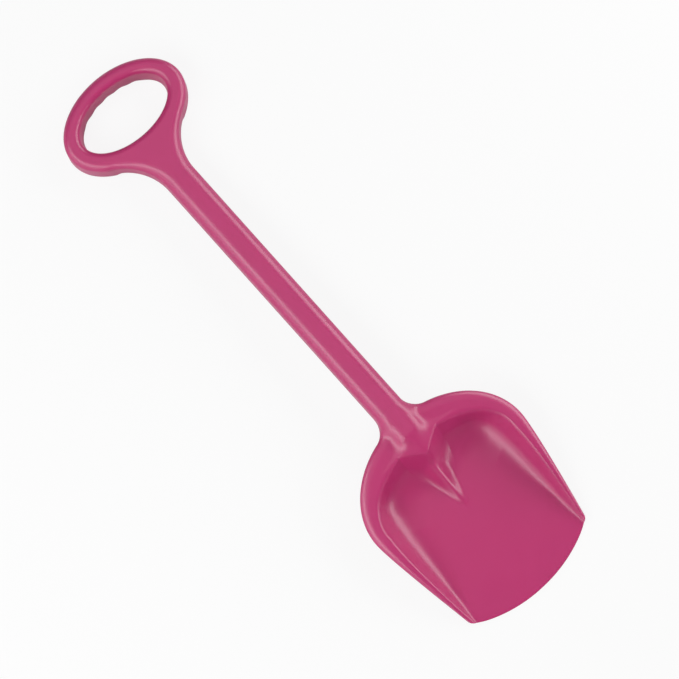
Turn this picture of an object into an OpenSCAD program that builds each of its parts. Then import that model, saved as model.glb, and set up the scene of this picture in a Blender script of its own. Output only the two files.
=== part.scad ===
// Long-handled sand shovel, moulded in one plastic.
// The moulding is drawn in the handle's own frame: X runs from the grip to the blade,
// the top face of the handle is z = 0, and the whole is then laid down on its back.
// Every skin is a grid of points: stations run along an outline, rows run across it.

/* [Grip ring] */
// Width of the ring, across the handle
grip_w = 103; // [94:1:112]
// Length of the ring, along the handle
grip_len = 67; // [60:1:74]
// Width of the finger hole, across the handle
hole_w = 73.2; // [64:0.2:77]
// Length of the finger hole, along the handle
hole_len = 39.8; // [34:0.2:42]
// Thickness of the outer bar that the fingers close round
bar_t = 12.4; // [12.2:0.2:15]
// Depth of the outer bar, from its top face to the ground
grip_depth = 18; // [16.5:0.5:22]
// Angle on the ring at which the neck leaves it, in degrees
neck_angle = 40; // [34:1:46]
// Number of finger hollows on the inside of the outer bar
finger_count = 5; // [3:1:6]
// Distance between finger hollows
finger_spacing = 11.4; // [9:0.2:12]
// Depth of each finger hollow at the back face
finger_depth = 0.8; // [0.4:0.1:1.2]

/* [Shaft] */
// Straight length between the neck and the blade
shaft_len = 224.2; // [160:0.6:300]
// Width at the open back edge
shaft_w = 25; // [22:0.5:28]
// Depth from the top face to the back edge
shaft_depth = 16; // [14:0.5:17]
// Lean of the side walls, in degrees
shaft_draft = 15; // [10:1:17]
// Radius of the two long shoulders
shoulder_r = 5.6; // [4.4:0.2:5.8]

/* [Blade] */
// Width across the rim at its widest
blade_w = 144.2; // [132:1:156]
// Length from the rear of the rim to the widest point
rear_len = 58; // [52:1:64]
// Length from the widest point to the tip of the front edge
front_len = 111; // [96:0.5:130]
// Width across the two front corners
mouth_w = 119.4; // [110:0.2:124]
// How far the front edge bows out past its corners
mouth_bow = 19; // [15:1:22]
// Drop from the top of the handle to the rim
rim_drop = 11.5; // [10:0.5:12]
// Depth of the pan below the rim, at the heel
pan_depth = 20.5; // [17:0.5:26]
// Width of the flat floor at its rear corners
floor_rear_w = 98; // [90:1:102]
// Width of the floor at the front corners
floor_front_w = 109.5; // [102:0.5:112]
// Distance from the rear of the rim to the floor
rear_run = 40; // [40:0.5:50]
// Distance from the rear of the rim to where the ridge starts to come down
ridge_reach = 31; // [26:0.5:36]
// Distance from the rear of the rim to the tip of the nose
nose_reach = 80.6; // [72:0.2:92]
// Slope of the nose's crest above the floor, in degrees
nose_angle = 20; // [16:1:24]

/* [Rim and walls] */
// Wall thickness of the whole moulding
wall = 2.4; // [2:0.1:2.8]
// Width of the rim flange at the rear
flange_rear_w = 18; // [15:0.5:20]
// Width of the rim flange at the sides
flange_side_w = 10.6; // [9:0.2:12]
// Width of the rim flange at the front corners
flange_front_w = 3; // [2.6:0.1:4]
// Height of the turned-down lip
lip_h = 4.5; // [4:0.1:5]

/* [Ribs] */
// Thickness of the ribs in the hollow back
rib_t = 1.6; // [1.2:0.1:2]
// Distance between the cross ribs of the shaft
rib_spacing = 38; // [24:1:50]
// How far the ribs stand back from the open edge
rib_setback = 2; // [1:0.5:4]

/* [Hidden] */
plastic = "#B7456F";

// Counts of stations along the outlines, and of steps round a shoulder
seam_steps = 3;
neck_steps = 8;
ring_steps = 30;
rear_steps = 14;
side_steps = 9;
arc_steps = 5;

right_angle = 90;
full_turn = 4 * right_angle;

// Side profile that the shaft, the neck and the ring share: a rounded shoulder
// over a wall that leans out. Each point is [distance in from the back edge, drop].
function arc_reach(r, lean) = r * tan((right_angle - lean) / 2);
function shoulder_in(h, lean, r) = h * tan(lean) + arc_reach(r, lean);
function side_profile(h, lean, r) = concat(
    [for (k = [0 : arc_steps]) let (a = (right_angle - lean) * k / arc_steps)
        [shoulder_in(h, lean, r) - r * sin(a), r * (1 - cos(a))]],
    [[0, h]]);
// The same profile on the inside of the wall
function inner_profile(h, lean, r) = concat(
    [for (k = [0 : arc_steps]) let (a = (right_angle - lean) * k / arc_steps)
        [shoulder_in(h, lean, r) - (r - wall) * sin(a), wall + (r - wall) * (1 - cos(a))]],
    [[wall / cos(lean), h]]);

shaft_out = side_profile(shaft_depth, shaft_draft, shoulder_r);
shaft_in = inner_profile(shaft_depth, shaft_draft, shoulder_r);
band_rows = len(shaft_out) - 1;
half_w = shaft_w / 2;

// Smooth greater and lesser of two heights, blended over k
function smooth_max(a, b, k) = max(a, b) + pow(max(k - abs(a - b), 0), 2) / (4 * k);
function smooth_min(a, b, k) = -smooth_max(-a, -b, k);
function mix(a, b, t) = a * (1 - t) + b * t;
function ease(t) = let (c = min(max(t, 0), 1)) c * c * (3 - 2 * c);
function unit(v) = v / norm(v);
function clip(v, lo, hi) = min(max(v, lo), hi);

// Arc that leaves the shaft's side tangentially and meets an ellipse tangentially.
// c, a, b: centre and half axes of the ellipse. t: angle on it. s: side that faces the shaft.
function ell_point(c, a, b, t) = [c + a * cos(t), b * sin(t)];
function ell_normal(a, b, t) = unit([cos(t) / a, sin(t) / b]);
function join_r(a, b, t) = (b * sin(t) - half_w) / (1 - ell_normal(a, b, t)[1]);
function join_centre(c, a, b, t) = ell_point(c, a, b, t) + join_r(a, b, t) * ell_normal(a, b, t);

// Grip ring: ellipses of the outline and of the hole
ring_a = grip_len / 2;
ring_b = grip_w / 2;
hole_a = hole_len / 2;
hole_b = hole_w / 2;
hole_x = bar_t + hole_a;
ring_draft = 3;
neck_c = join_centre(ring_a, ring_a, ring_b, neck_angle);
neck_r = join_r(ring_a, ring_b, neck_angle);
grip_end = neck_c[0];

// Blade: the rim's rear half is an ellipse, joined to the shaft by two small arcs
blade_start = grip_end + shaft_len;
fork_angle = 19;
fork_t = full_turn / 2 - fork_angle;
fork_r = join_r(rear_len, blade_w / 2, fork_t);
rim_rear = blade_start - join_centre(0, rear_len, blade_w / 2, fork_t)[0] - rear_len;
widest_x = rim_rear + rear_len;
tip_x = widest_x + front_len;
corner_x = tip_x - mouth_bow;
corner_y = mouth_w / 2;
side_reach_share = 0.14;
side_ctrl_x = mix(widest_x, corner_x, side_reach_share);
heel_x = rim_rear + rear_run;
nose_x = rim_rear + nose_reach;

// The floor lies on the ground together with the ring, so the handle slopes
floor_top = -rim_drop - pan_depth;
ground_slope = (wall - floor_top - grip_depth) / heel_x;
lie = atan(ground_slope);
function ground(x) = -grip_depth - ground_slope * x;
function floor_z(x) = ground(x) + wall / cos(lie);

// Height of the rim: level at the rear, then falling to the front corners
front_wall_h = wall;
rim_fall_power = 1.35;
rim_front_z = floor_z(corner_x) + front_wall_h;
function rim_z(x) = let (t = clip((x - widest_x) / (corner_x - widest_x), 0, 1))
    mix(-rim_drop, rim_front_z, pow(t, rim_fall_power));

// Ridge: the shaft runs on over the rim, then slopes down. Its top ends in a short tongue.
crest_x = rim_rear + flange_rear_w - 3 * wall;
crest_angle = 18;
crest_bend = wall;
flat_half = half_w - shaft_out[0][0];
function shaft_drop(y) = let (d = max(abs(y) - flat_half, 0), c = right_angle - shaft_draft)
    d < shoulder_r * sin(c) ? shoulder_r - sqrt(shoulder_r * shoulder_r - d * d)
    : shoulder_r * (1 - cos(c)) + (d - shoulder_r * sin(c)) / tan(shaft_draft);
// Drop of a ridge with straight flanks and a rounded crest, at a distance y from its middle
function ridge_drop(y, slope, r) = slope * (sqrt(y * y + r * r) - r);
function crest_z(x) = let (d = max(x - crest_x, 0))
    -tan(crest_angle) * (d < crest_bend ? d * d / (2 * crest_bend) : d - crest_bend / 2);
function ridge_z(x, y) = crest_z(x) - shaft_drop(y);
neck_blend = 9;
function top_z(x, y) = smooth_max(rim_z(x), ridge_z(x, y), neck_blend);
tongue_half_in = 3.5;
tongue_half_out = 14;
function tongue_share(y) = ease((tongue_half_out - abs(y)) / (tongue_half_out - tongue_half_in));

// Nose: a wedge that stands on the floor in front of the tongue and runs out to a point.
// Its inside is the same wedge, one wall in from the flanks.
nose_draft = 34;
nose_r = 2;
nose_h = 15;
nose_blend = 2.5;
function nose_z(x, y) = floor_z(x) + smooth_min((nose_x - x) * tan(nose_angle), nose_h, nose_blend)
    - ridge_drop(y, 1 / tan(nose_draft), nose_r);
function nosed(p, lower) = [p[0], p[1], smooth_max(p[2], nose_z(p[0], p[1]) - lower, nose_blend)];

// Turned-down lip of the rim, with the same rows as the shaft's side
lip_draft = 4;
lip_r = lip_h - wall / 6;
lip_out = side_profile(lip_h, lip_draft, lip_r);

// Half outline of the blade, as stations from the middle of the joint with the shaft,
// round one small arc, the rear ellipse and the side, to the front corner.
fork_c = [blade_start, half_w + fork_r];
fork_n = -ell_normal(rear_len, blade_w / 2, fork_t);
fork_to = atan2(fork_n[1], fork_n[0]);
neck_last = seam_steps + neck_steps;
rear_last = neck_last + rear_steps;
blade_last = rear_last + side_steps;
function side_u(i) = (i - rear_last) / side_steps;
function side_pt(u) = (1 - u) * (1 - u) * [widest_x, blade_w / 2]
    + 2 * u * (1 - u) * [side_ctrl_x, blade_w / 2] + u * u * [corner_x, corner_y];
function side_dir(u) = unit((1 - u) * [side_ctrl_x - widest_x, 0]
    + u * [corner_x - side_ctrl_x, corner_y - blade_w / 2]);
function blade_edge(i) =
    i <= seam_steps ? [blade_start, half_w * i / seam_steps]
    : i <= neck_last ? fork_c + fork_r * blade_in(i)
    : i <= rear_last ? ell_point(widest_x, rear_len, blade_w / 2, rear_t(i))
    : side_pt(side_u(i));
// Direction from that outline into the blade
function blade_in(i) =
    i <= seam_steps ? [1, 0]
    : i <= neck_last ? let (a = mix(-right_angle, fork_to, (i - seam_steps) / neck_steps)) [cos(a), sin(a)]
    : i <= rear_last ? -ell_normal(rear_len, blade_w / 2, rear_t(i))
    : let (d = side_dir(side_u(i))) [d[1], -d[0]];
function rear_t(i) = mix(fork_t, right_angle, (i - neck_last) / rear_steps);

// Shares of the way from shaft to rim, round the rear, and along the side
function fork_share(i) = ease((i - seam_steps) / neck_steps);
function rear_share(i) = clip((i - neck_last) / rear_steps, 0, 1);
function side_share(i) = clip(side_u(i), 0, 1);
function flange_w(i) = mix(mix(flange_rear_w, flange_side_w, ease(rear_share(i))), flange_front_w, side_share(i));
edge_limit_share = 0.55;
function top_in(i) = min(mix(shaft_out[0][0], lip_out[0][0], fork_share(i)), edge_limit_share * flange_w(i));

// Across the side, a station bends forward towards the middle, and the last one is the front edge
corner_round_share = 0.15;
corner_power = 14;
side_power = 1;
front_power = 2.1;
strip_w = 2 * wall;
inner_start_x = nose_x + 2 * wall;
side_bend = inner_start_x - widest_x + 5 * wall;
function bend_share(r, u) = 1 - (1 - corner_round_share * u) * pow(r, mix(side_power, front_power, u))
    - corner_round_share * u * pow(r, corner_power);
function bent_x(i, y) = let (u = side_share(i), o = blade_edge(i))
    o[0] + mix(side_bend, mouth_bow, u) * bend_share(clip(y / o[1], 0, 1), u);

// Guide points of a station: edge of the top face, top of the wall, foot of the wall, middle
floor_corner_r = 15;
floor_straight = floor_rear_w / 2 - floor_corner_r - wall_top_xy(neck_last)[1];
floor_arc = floor_corner_r * PI / 2;
floor_side = bent_x(rear_last, floor_rear_w / 2) - heel_x - floor_corner_r;
function top_edge_xy(i) = i <= seam_steps ? [blade_start, flat_half * i / seam_steps]
    : blade_edge(i) + top_in(i) * blade_in(i);
function wall_top_xy(i) =
    i < neck_last ? let (w = wall_top_xy(neck_last), t = max(i - seam_steps, 0) / neck_steps)
        [mix(rim_rear + flange_rear_w, w[0], t * t),
         i <= seam_steps ? flat_half * i / seam_steps : mix(flat_half, w[1], t)]
    : blade_edge(i) + flange_w(i) * blade_in(i);
function wall_foot_xy(i) =
    i <= neck_last ? [heel_x, wall_top_xy(i)[1]]
    : i <= rear_last ? let (s = rear_share(i) * (floor_straight + floor_arc + floor_side),
            r = clip(s - floor_straight, 0, floor_arc), a = r / floor_arc * right_angle)
        [heel_x + floor_corner_r * (1 - cos(a)) + max(s - floor_straight - floor_arc, 0),
         wall_top_xy(neck_last)[1] + min(s, floor_straight) + floor_corner_r * sin(a)]
    : [0, mix(floor_rear_w, floor_front_w, side_share(i)) / 2];
function middle_xy(i) = [mix(inner_start_x, bent_x(rear_last, strip_w / 2), min(i / rear_last, 1)),
    strip_w / 2 * min(i / seam_steps, 1)];
function placed(i, p) = i >= rear_last ? [bent_x(i, p[1]), p[1]] : p;
function lift(p, z) = [p[0], p[1], z];

// Rows of a station, from the edge of the top face to the middle
wall_top_blend = 3.5;
foot_blend_rear = 10;
foot_blend_front = 3.5;
blend_limit_share = 0.45;
bend_steps = 3;
flange_shares = [0.1, 0.2, 0.32, 0.46, 0.62, 0.8];
floor_shares = [0.12, 0.25, 0.4, 0.57, 0.77, 1];
function toward(a, b, d) = a + min(d, blend_limit_share * norm(b - a)) * unit(b - a);
function turn(a, b, c) = [for (k = [0 : bend_steps]) let (t = k / bend_steps)
    (1 - t) * (1 - t) * a + 2 * t * (1 - t) * b + t * t * c];
function on_top(i, p) = let (q = placed(i, p)) lift(q, top_z(q[0], q[1]));
function on_floor(i, p) = let (q = placed(i, p)) lift(q, floor_z(q[0]));
function pan_rows(i) = let (
        reach = [i < rear_last ? (ridge_reach - flange_rear_w) * tongue_share(wall_top_xy(i)[1]) : 0, 0],
        t = on_top(i, top_edge_xy(i)),
        w = on_top(i, wall_top_xy(i) + reach),
        f = on_floor(i, wall_foot_xy(i) + reach),
        m = on_floor(i, middle_xy(i)),
        w1 = on_top(i, toward(w, t, wall_top_blend)),
        w2 = toward(w, f, wall_top_blend),
        foot_blend = mix(foot_blend_rear, foot_blend_front, side_share(i)),
        f1 = toward(f, w, foot_blend),
        f2 = toward(f, m, foot_blend))
    concat([t], [for (s = flange_shares) on_top(i, mix(t, w1, s))],
        [for (p = concat(turn(w1, w, w2), [(w2 + f1) / 2], turn(f1, f, f2))) lift(placed(i, p), p[2])],
        [for (s = floor_shares) on_floor(i, mix(f2, m, s))]);

// Side band of a station, from just below the top face to the back edge
function blade_back_z(i, x) = max(ground(x), mix(-shaft_depth,
    rim_z(x) - mix(lip_h, rim_front_z - ground(corner_x), side_share(i)), fork_share(i)));
function blade_band(i, top) = let (
        w = fork_share(i), o = blade_edge(i), n = blade_in(i),
        drop = top[2] - blade_back_z(i, o[0]),
        scale_in = top_in(i) / mix(shaft_out[0][0], lip_out[0][0], w))
    [for (k = [1 : band_rows])
        let (inset = mix(shaft_out[k][0], lip_out[k][0], w) * scale_in,
            share = mix(shaft_out[k][1] / shaft_depth, lip_out[k][1] / lip_h, w))
        i <= seam_steps ? [o[0], (half_w - shaft_out[k][0]) * i / seam_steps, -shaft_out[k][1]]
        : lift(placed(i, o + inset * n), top[2] - drop * share)];
function blade_station(i) = let (t = pan_rows(i)) concat([for (k = [len(t) - 1 : -1 : 0]) t[k]],
    blade_band(i, t[0]));

// Both halves of an outer skin
function flip(p, s) = [p[0], s * p[1], p[2]];
function both_sides(half, last, first) = [for (s = [first : last]) [for (p = half[abs(s)]) flip(p, s < 0 ? -1 : 1)]];
// Unit normal of a grid point, pointing out of the moulding
function skin_normal(g, i, j, ring) = let (
        n = len(g), m = len(g[0]),
        a = g[ring ? (i + 1) % n : min(i + 1, n - 1)][j] - g[ring ? (i + n - 1) % n : max(i - 1, 0)][j],
        b = g[i][min(j + 1, m - 1)] - g[i][max(j - 1, 0)])
    unit(cross(a, b));

// Point of the bulkhead's inner face: k counts the rows down from the top face
function bulkhead_pt(x, k, i) = [x, (half_w - shaft_in[k][0]) * i / seam_steps, -shaft_in[k][1]];
bulkhead_step_share = 0.15;

// Inner skin of the blade, one wall away from the outer skin and never below the ground.
// Towards the front corner the groove behind the lip closes.
blade_half = [for (i = [0 : blade_last]) blade_station(i)];
blade_out = both_sides(blade_half, blade_last, -blade_last);
blade_top = both_sides([for (r = blade_half) [for (p = r) nosed(p, 0)]], blade_last, -blade_last);
blade_rows = len(blade_half[0]);
edge_row = blade_rows - 1 - band_rows;
foot_row = len(floor_shares);
groove_end_share = 0.5;
groove_shut_share = 0.85;
function groove_shut(i) = ease((side_share(i) - groove_end_share) / (groove_shut_share - groove_end_share));
function blade_offset(i, j) = let (
        p = blade_half[i][j], q = p - wall * skin_normal(blade_out, i + blade_last, j, false))
    [i <= neck_last ? max(q[0], blade_start + wall * (1 + bulkhead_step_share * (i - seam_steps))) : q[0],
     q[1], max(j == blade_rows - 1 ? p[2] : q[2], ground(q[0]))];
function blade_inner(i, j) =
    i <= seam_steps && j >= edge_row ? bulkhead_pt(blade_start + wall, j - edge_row, i)
    : j <= foot_row ? blade_offset(i, j)
    : mix(blade_offset(i, j), mix(blade_offset(i, foot_row), blade_offset(i, blade_rows - 1),
        (j - foot_row) / (blade_rows - 1 - foot_row)), groove_shut(i));
blade_in_half = [for (i = [0 : blade_last]) [for (j = [0 : blade_rows - 1]) let (p = blade_inner(i, j))
    nosed([p[0], i == 0 ? 0 : p[1], p[2]], wall / sin(nose_draft))]];
blade_under = both_sides(blade_in_half, blade_last, -blade_last);

// Two triangles of a quad, split the other way on the mirrored half
function quad(a, b, c, d, far) = far ? [[a, c, b], [a, d, c]] : [[a, d, b], [b, d, c]];
function strip(n, m, j0, j1, c0, c1, ring, k) = [for (i = [0 : (ring ? n : n - 1) - 1])
    let (o = (i + 1) % n) each quad(c0 + i * m + j0, c0 + o * m + j0, c1 + o * m + j1, c1 + i * m + j1, i >= k)];
function skins(n, m, ring, k) = let (in_from = n * m) [
    for (j = [0 : m - 2]) each strip(n, m, j, j + 1, 0, 0, ring, k),
    for (j = [0 : m - 2]) each strip(n, m, j + 1, j, in_from, in_from, ring, k),
    each strip(n, m, m - 1, m - 1, 0, in_from, ring, k)];

module blade() {
    n = 2 * blade_last + 1;
    m = blade_rows;
    in_from = n * m;
    last_at = (n - 1) * m;
    mid = blade_last;
    color(plastic) laid() polyhedron(
        points = concat([for (r = blade_top) each r], [for (r = blade_under) each r]),
        faces = concat(
            skins(n, m, false, mid),
            // Middle strip of both skins, from the nose to the front edge
            [for (i = [1 : mid - 1], f = [0, in_from])
                let (a = (mid + i) * m, b = (mid + i + 1) * m, c = (mid - i - 1) * m, d = (mid - i) * m)
                each f == 0 ? quad(a, d, c, b, true) : quad(f + a, f + b, f + c, f + d, true)],
            [[mid * m, (mid + 1) * m, (mid - 1) * m],
             [in_from + mid * m, in_from + (mid - 1) * m, in_from + (mid + 1) * m]],
            // Front edge
            [for (j = [0 : m - 2]) each quad(j, j + 1, in_from + j + 1, in_from + j, true)],
            [for (j = [0 : m - 2]) each quad(last_at + j + 1, last_at + j, in_from + last_at + j,
                in_from + last_at + j + 1, true)],
            quad(last_at, 0, in_from, in_from + last_at, true)));
}

// Shaft: an open channel with rounded shoulders
function section(left) = concat([for (p = left) [half_w - p[0], -p[1]]],
    [for (k = [len(left) - 1 : -1 : 0]) [left[k][0] - half_w, -left[k][1]]]);
module along_x(x, len, pts) {
    translate([x, 0, 0]) rotate([90, 0, 90]) linear_extrude(len) polygon(pts);
}
module shaft() {
    outer = section(shaft_out);
    inner = section(shaft_in);
    color(plastic) laid() along_x(grip_end, shaft_len, concat(
        [for (k = [0 : band_rows]) outer[k]],
        [for (k = [band_rows : -1 : 0]) inner[k]],
        [for (k = [2 * band_rows + 1 : -1 : band_rows + 1]) inner[k]],
        [for (k = [band_rows + 1 : 2 * band_rows + 1]) outer[k]]));
}
module shaft_ribs() {
    n = floor(shaft_len / rib_spacing);
    first = (shaft_len - (n - 1) * rib_spacing - rib_t) / 2;
    cut = [for (k = [0 : band_rows]) k < band_rows ? shaft_in[k]
        : shaft_in[k] + rib_setback * [tan(shaft_draft), -1]];
    color(plastic) laid() for (k = [0 : n - 1])
        along_x(grip_end + first + k * rib_spacing, rib_t, section(cut));
}

// Grip ring: a hollow ring open at the back, with a neck that spreads from the shaft.
ring_last = neck_last + ring_steps;
neck_from = full_turn - right_angle;
neck_n = -ell_normal(ring_a, ring_b, neck_angle);
neck_to = full_turn + atan2(neck_n[1], neck_n[0]);
ring_out = side_profile(grip_depth, ring_draft, shoulder_r);
hole_r = 2 * wall;
hole_out = side_profile(grip_depth, ring_draft, hole_r);
function ring_t(i) = mix(neck_angle, full_turn / 2, (i - neck_last) / ring_steps);
function ring_in(i) =
    i <= seam_steps ? [-1, 0]
    : i <= neck_last ? let (a = mix(neck_from, neck_to, (i - seam_steps) / neck_steps)) [cos(a), sin(a)]
    : -ell_normal(ring_a, ring_b, ring_t(i));
function ring_edge(i) =
    i <= seam_steps ? [grip_end, half_w * i / seam_steps]
    : i <= neck_last ? neck_c + neck_r * ring_in(i)
    : ell_point(ring_a, ring_a, ring_b, ring_t(i));
function hole_t(i) = i <= neck_last ? neck_angle * i / neck_last : ring_t(i);
// Depth of the finger hollows at a width y, as a share of the full depth
finger_reach = finger_count * finger_spacing / 2;
function finger_share(i, y) = hole_t(i) < right_angle || abs(y) > finger_reach ? 0 : (1 + cos(full_turn * (y / finger_spacing
    + (finger_count % 2 == 0 ? 1 / 2 : 0)))) / 2;
finger_top_share = 0.2;
hole_rows = band_rows + 2;
function hole_row(i, k) = let (
        t = hole_t(i), h = ell_point(hole_x, hole_a, hole_b, t), n = ell_normal(hole_a, hole_b, t),
        half = k == band_rows, last = k == band_rows + 1,
        q = half ? (hole_out[band_rows - 1] + hole_out[band_rows]) / 2 : hole_out[min(k, band_rows)],
        d = q[1] / grip_depth,
        press = finger_depth * finger_share(i, h[1]) * mix(finger_top_share, 1, d),
        p = h + (q[0] + press) * n)
    [p[0], p[1], ground(p[0]) * d * (k == 0 ? 0 : 1)];
function ring_back_z(i, x) = i < neck_last ? -shaft_depth : ground(x);
function ring_band(i, k) = let (
        w = fork_share(i), o = ring_edge(i),
        inset = mix(shaft_out[k][0], ring_out[k][0], w),
        share = mix(shaft_out[k][1] / shaft_depth, ring_out[k][1] / grip_depth, w),
        p = o + inset * ring_in(i))
    i <= seam_steps ? [o[0], (half_w - shaft_out[k][0]) * i / seam_steps, -shaft_out[k][1]]
    : [p[0], p[1], ring_back_z(i, o[0]) * share];
function ring_station(i) = concat([for (k = [band_rows + 1 : -1 : 0]) hole_row(i, k)],
    [(hole_row(i, 0) + ring_band(i, 0)) / 2], [for (k = [0 : band_rows]) ring_band(i, k)]);
ring_half = [for (i = [0 : ring_last]) ring_station(i)];
ring_skin = both_sides(ring_half, ring_last, 1 - ring_last);
ring_rows = len(ring_half[0]);
ring_edge_row = ring_rows - 1 - band_rows;
function ring_offset(i, j) = let (
        p = ring_half[i][j], q = p + wall * skin_normal(ring_skin, i + ring_last - 1, j, true))
    [i <= neck_last ? min(q[0], grip_end - wall * (1 + bulkhead_step_share * (i - seam_steps))) : q[0],
     i == 0 || i == ring_last ? 0 : q[1],
     j == 0 ? ground(q[0]) : j == ring_rows - 1 ? ring_back_z(i, q[0]) : q[2]];
ring_in_half = [for (i = [0 : ring_last]) [for (j = [0 : ring_rows - 1])
    i <= seam_steps && j >= ring_edge_row ? bulkhead_pt(grip_end - wall, j - ring_edge_row, i) : ring_offset(i, j)]];
ring_under = both_sides(ring_in_half, ring_last, 1 - ring_last);

module grip_ring() {
    n = 2 * ring_last;
    m = ring_rows;
    color(plastic) laid() polyhedron(
        points = concat([for (r = ring_skin) each r], [for (r = ring_under) each r]),
        faces = [for (t = concat(skins(n, m, true, ring_last - 1), strip(n, m, 0, 0, n * m, 0, true, ring_last - 1)))
            [t[0], t[2], t[1]]]);
}

// Plate across the hollow back of the ring, between two lines of its inner skin
function cut_back(r) = let (m = len(r),
        a = rib_setback / (r[1][2] - r[0][2]), b = rib_setback / (r[m - 2][2] - r[m - 1][2]))
    [for (j = [0 : m - 1]) j == 0 ? mix(r[0], r[1], a) : j == m - 1 ? mix(r[j], r[j - 1], b) : r[j]];
module plate(r0, r1) {
    a = cut_back(r0);
    b = cut_back(r1);
    m = len(a);
    polyhedron(points = concat(a, b), faces = concat(
        [for (j = [0 : m - 1]) let (k = (j + 1) % m) each quad(j, k, m + k, m + j, true)],
        [for (j = [0 : m / 2 - 2]) each quad(j, m - 1 - j, m - 2 - j, j + 1, true)],
        [for (j = [0 : m / 2 - 2]) each quad(m + j, m + j + 1, 2 * m - 2 - j, 2 * m - 1 - j, true)]));
}
rib_every = 6;
function between(i, f) = mix(ring_in_half[i], ring_in_half[i + 1], f);
function across(i) = norm(ring_half[i + 1][ring_edge_row] - ring_half[i][ring_edge_row]);
module grip_ribs() {
    mid_share = rib_t / 2 / ring_half[1][0][1];
    mid_line = between(0, mid_share);
    color(plastic) laid() {
        plate([for (p = mid_line) flip(p, -1)], mid_line);
        for (i = [neck_last : rib_every : ring_last - 1]) {
            plate(between(i, 0), between(i, rib_t / across(i)));
            mirror([0, 1, 0]) plate(between(i, 0), between(i, rib_t / across(i)));
        }
    }
}

// Laid on the ground: the ring's back edge and the floor's underside share the plane z = 0,
// and the origin is below the middle of the whole.
function laid_x(p) = p[0] * cos(lie) - p[2] * sin(lie);
span = [laid_x([0, 0, -grip_depth]), laid_x([tip_x, 0, floor_z(tip_x)])];
module laid() {
    translate([-(span[0] + span[1]) / 2, 0, grip_depth * cos(lie)]) rotate([0, -lie, 0]) children();
}

blade();
shaft();
shaft_ribs();
grip_ring();
grip_ribs();
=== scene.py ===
import math

import bmesh
import bpy
import numpy as np
from mathutils import Euler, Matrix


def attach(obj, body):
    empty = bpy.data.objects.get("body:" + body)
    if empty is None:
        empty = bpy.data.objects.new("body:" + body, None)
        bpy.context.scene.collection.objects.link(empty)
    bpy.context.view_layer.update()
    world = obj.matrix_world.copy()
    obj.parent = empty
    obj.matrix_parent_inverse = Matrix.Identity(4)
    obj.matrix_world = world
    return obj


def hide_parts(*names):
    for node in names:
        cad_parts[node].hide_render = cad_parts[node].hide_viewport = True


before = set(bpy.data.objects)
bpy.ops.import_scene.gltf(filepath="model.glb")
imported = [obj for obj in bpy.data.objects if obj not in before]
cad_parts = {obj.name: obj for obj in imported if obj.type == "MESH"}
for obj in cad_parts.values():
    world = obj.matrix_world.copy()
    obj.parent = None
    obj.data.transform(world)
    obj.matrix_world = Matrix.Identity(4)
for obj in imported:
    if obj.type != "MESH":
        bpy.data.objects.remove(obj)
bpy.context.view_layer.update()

# Sizes of the moulding in millimetres. X runs from the grip to the blade, and the handle's top is z = 0
WALL = 2.4

# Grip ring
GRIP_W, GRIP_LEN = 103.0, 67.0
HOLE_W, HOLE_LEN = 73.2, 39.8
BAR_T, GRIP_DEPTH = 12.4, 18.0
NECK_ANGLE = 40.0
FINGER_COUNT, FINGER_PITCH, FINGER_DEPTH = 5, 11.4, 0.5
FINGER_TOP_SHARE = 0.2
RING_DRAFT, RING_R, HOLE_R = 3.0, 5.6, 2 * WALL

# Shaft
SHAFT_LEN, SHAFT_W, SHAFT_DEPTH = 224.2, 25.0, 16.0
SHAFT_DRAFT, SHOULDER_R = 4.0, 9.0

# Blade
BLADE_W, REAR_LEN, FRONT_LEN = 144.2, 58.0, 111.0
MOUTH_W, MOUTH_BOW = 119.4, 19.0
RIM_DROP, PAN_DEPTH = 11.5, 20.5
FLOOR_REAR_W, FLOOR_FRONT_W = 98.0, 109.5
REAR_RUN, NOSE_REACH, NOSE_Y = 40.0, 76.5, -1.8
FLANGE_REAR_W, FLANGE_SIDE_W, FLANGE_FRONT_W = 18.0, 10.6, 3.0
LIP_H, LIP_DRAFT, LIP_R = 4.5, 4.0, 4.1
LIP_SPREAD, LIP_WIDTH_SHARE = 1.7, 0.62
FORK_ANGLE = 19.0
SIDE_REACH_SHARE = 0.14
FLOOR_CORNER_R = 15.0
RIM_FALL_POWER = 1.35
REAR_RISE, REAR_RISE_POWER = 6.5, 1.2
FLANK_ANGLE, NECK_BLEND, NOSE_BLEND = 56.0, 7.0, 4.5
CREST_REACH, CREST_ANGLE, CREST_BEND = 31.0, 21.0, WALL
FAN_START, FAN_RUN, FAN_ANGLE, FAN_CREST_R = 10.0, 12.0, 17.0, 3.0
TONGUE_HALF, TONGUE_TIP_R = 18.6, 2.0
NOSE_ANGLE, NOSE_DRAFT, NOSE_R, NOSE_TOP = 20.0, 34.0, 3.2, 15.0

# Bends of the pan's skin: how far each reaches, how soon it changes, and the share of a face that it may take
TONGUE_BLEND, WALL_TOP_BLEND, TOP_BLEND_RATE = 1.6, 3.5, 3
FOOT_BLEND_REAR, FOOT_BLEND_FRONT, FOOT_BLEND_RATE = 22.0, 4.0, 1.3
BLEND_LIMIT = 0.45

# Bow of the mouth and of the stations behind it
CORNER_ROUND_SHARE, CORNER_POWER = 0.15, 14.0
SIDE_POWER, FRONT_POWER, FLANGE_POWER = 1.0, 2.1, 1.4

# Inner skin: how a bulkhead steps back from its seam, and where the fold under the rim shuts
BULKHEAD_STEP_SHARE = 0.15
FOLD_SHUT_START, FOLD_SHUT_RUN = 0.5, 0.35

# Ribs in the hollow back
RIB_T, RIB_PITCH, RIB_SETBACK = 1.6, 38.0, 2.0
RIB_EVERY, RIB_SINK = 6, 0.8
RIB_TOP_SHARE, RIB_CORNER_SHARE, RIB_CORNER_POWER, RIB_TOP_POINTS = 0.09, 0.25, 5, 25

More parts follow.
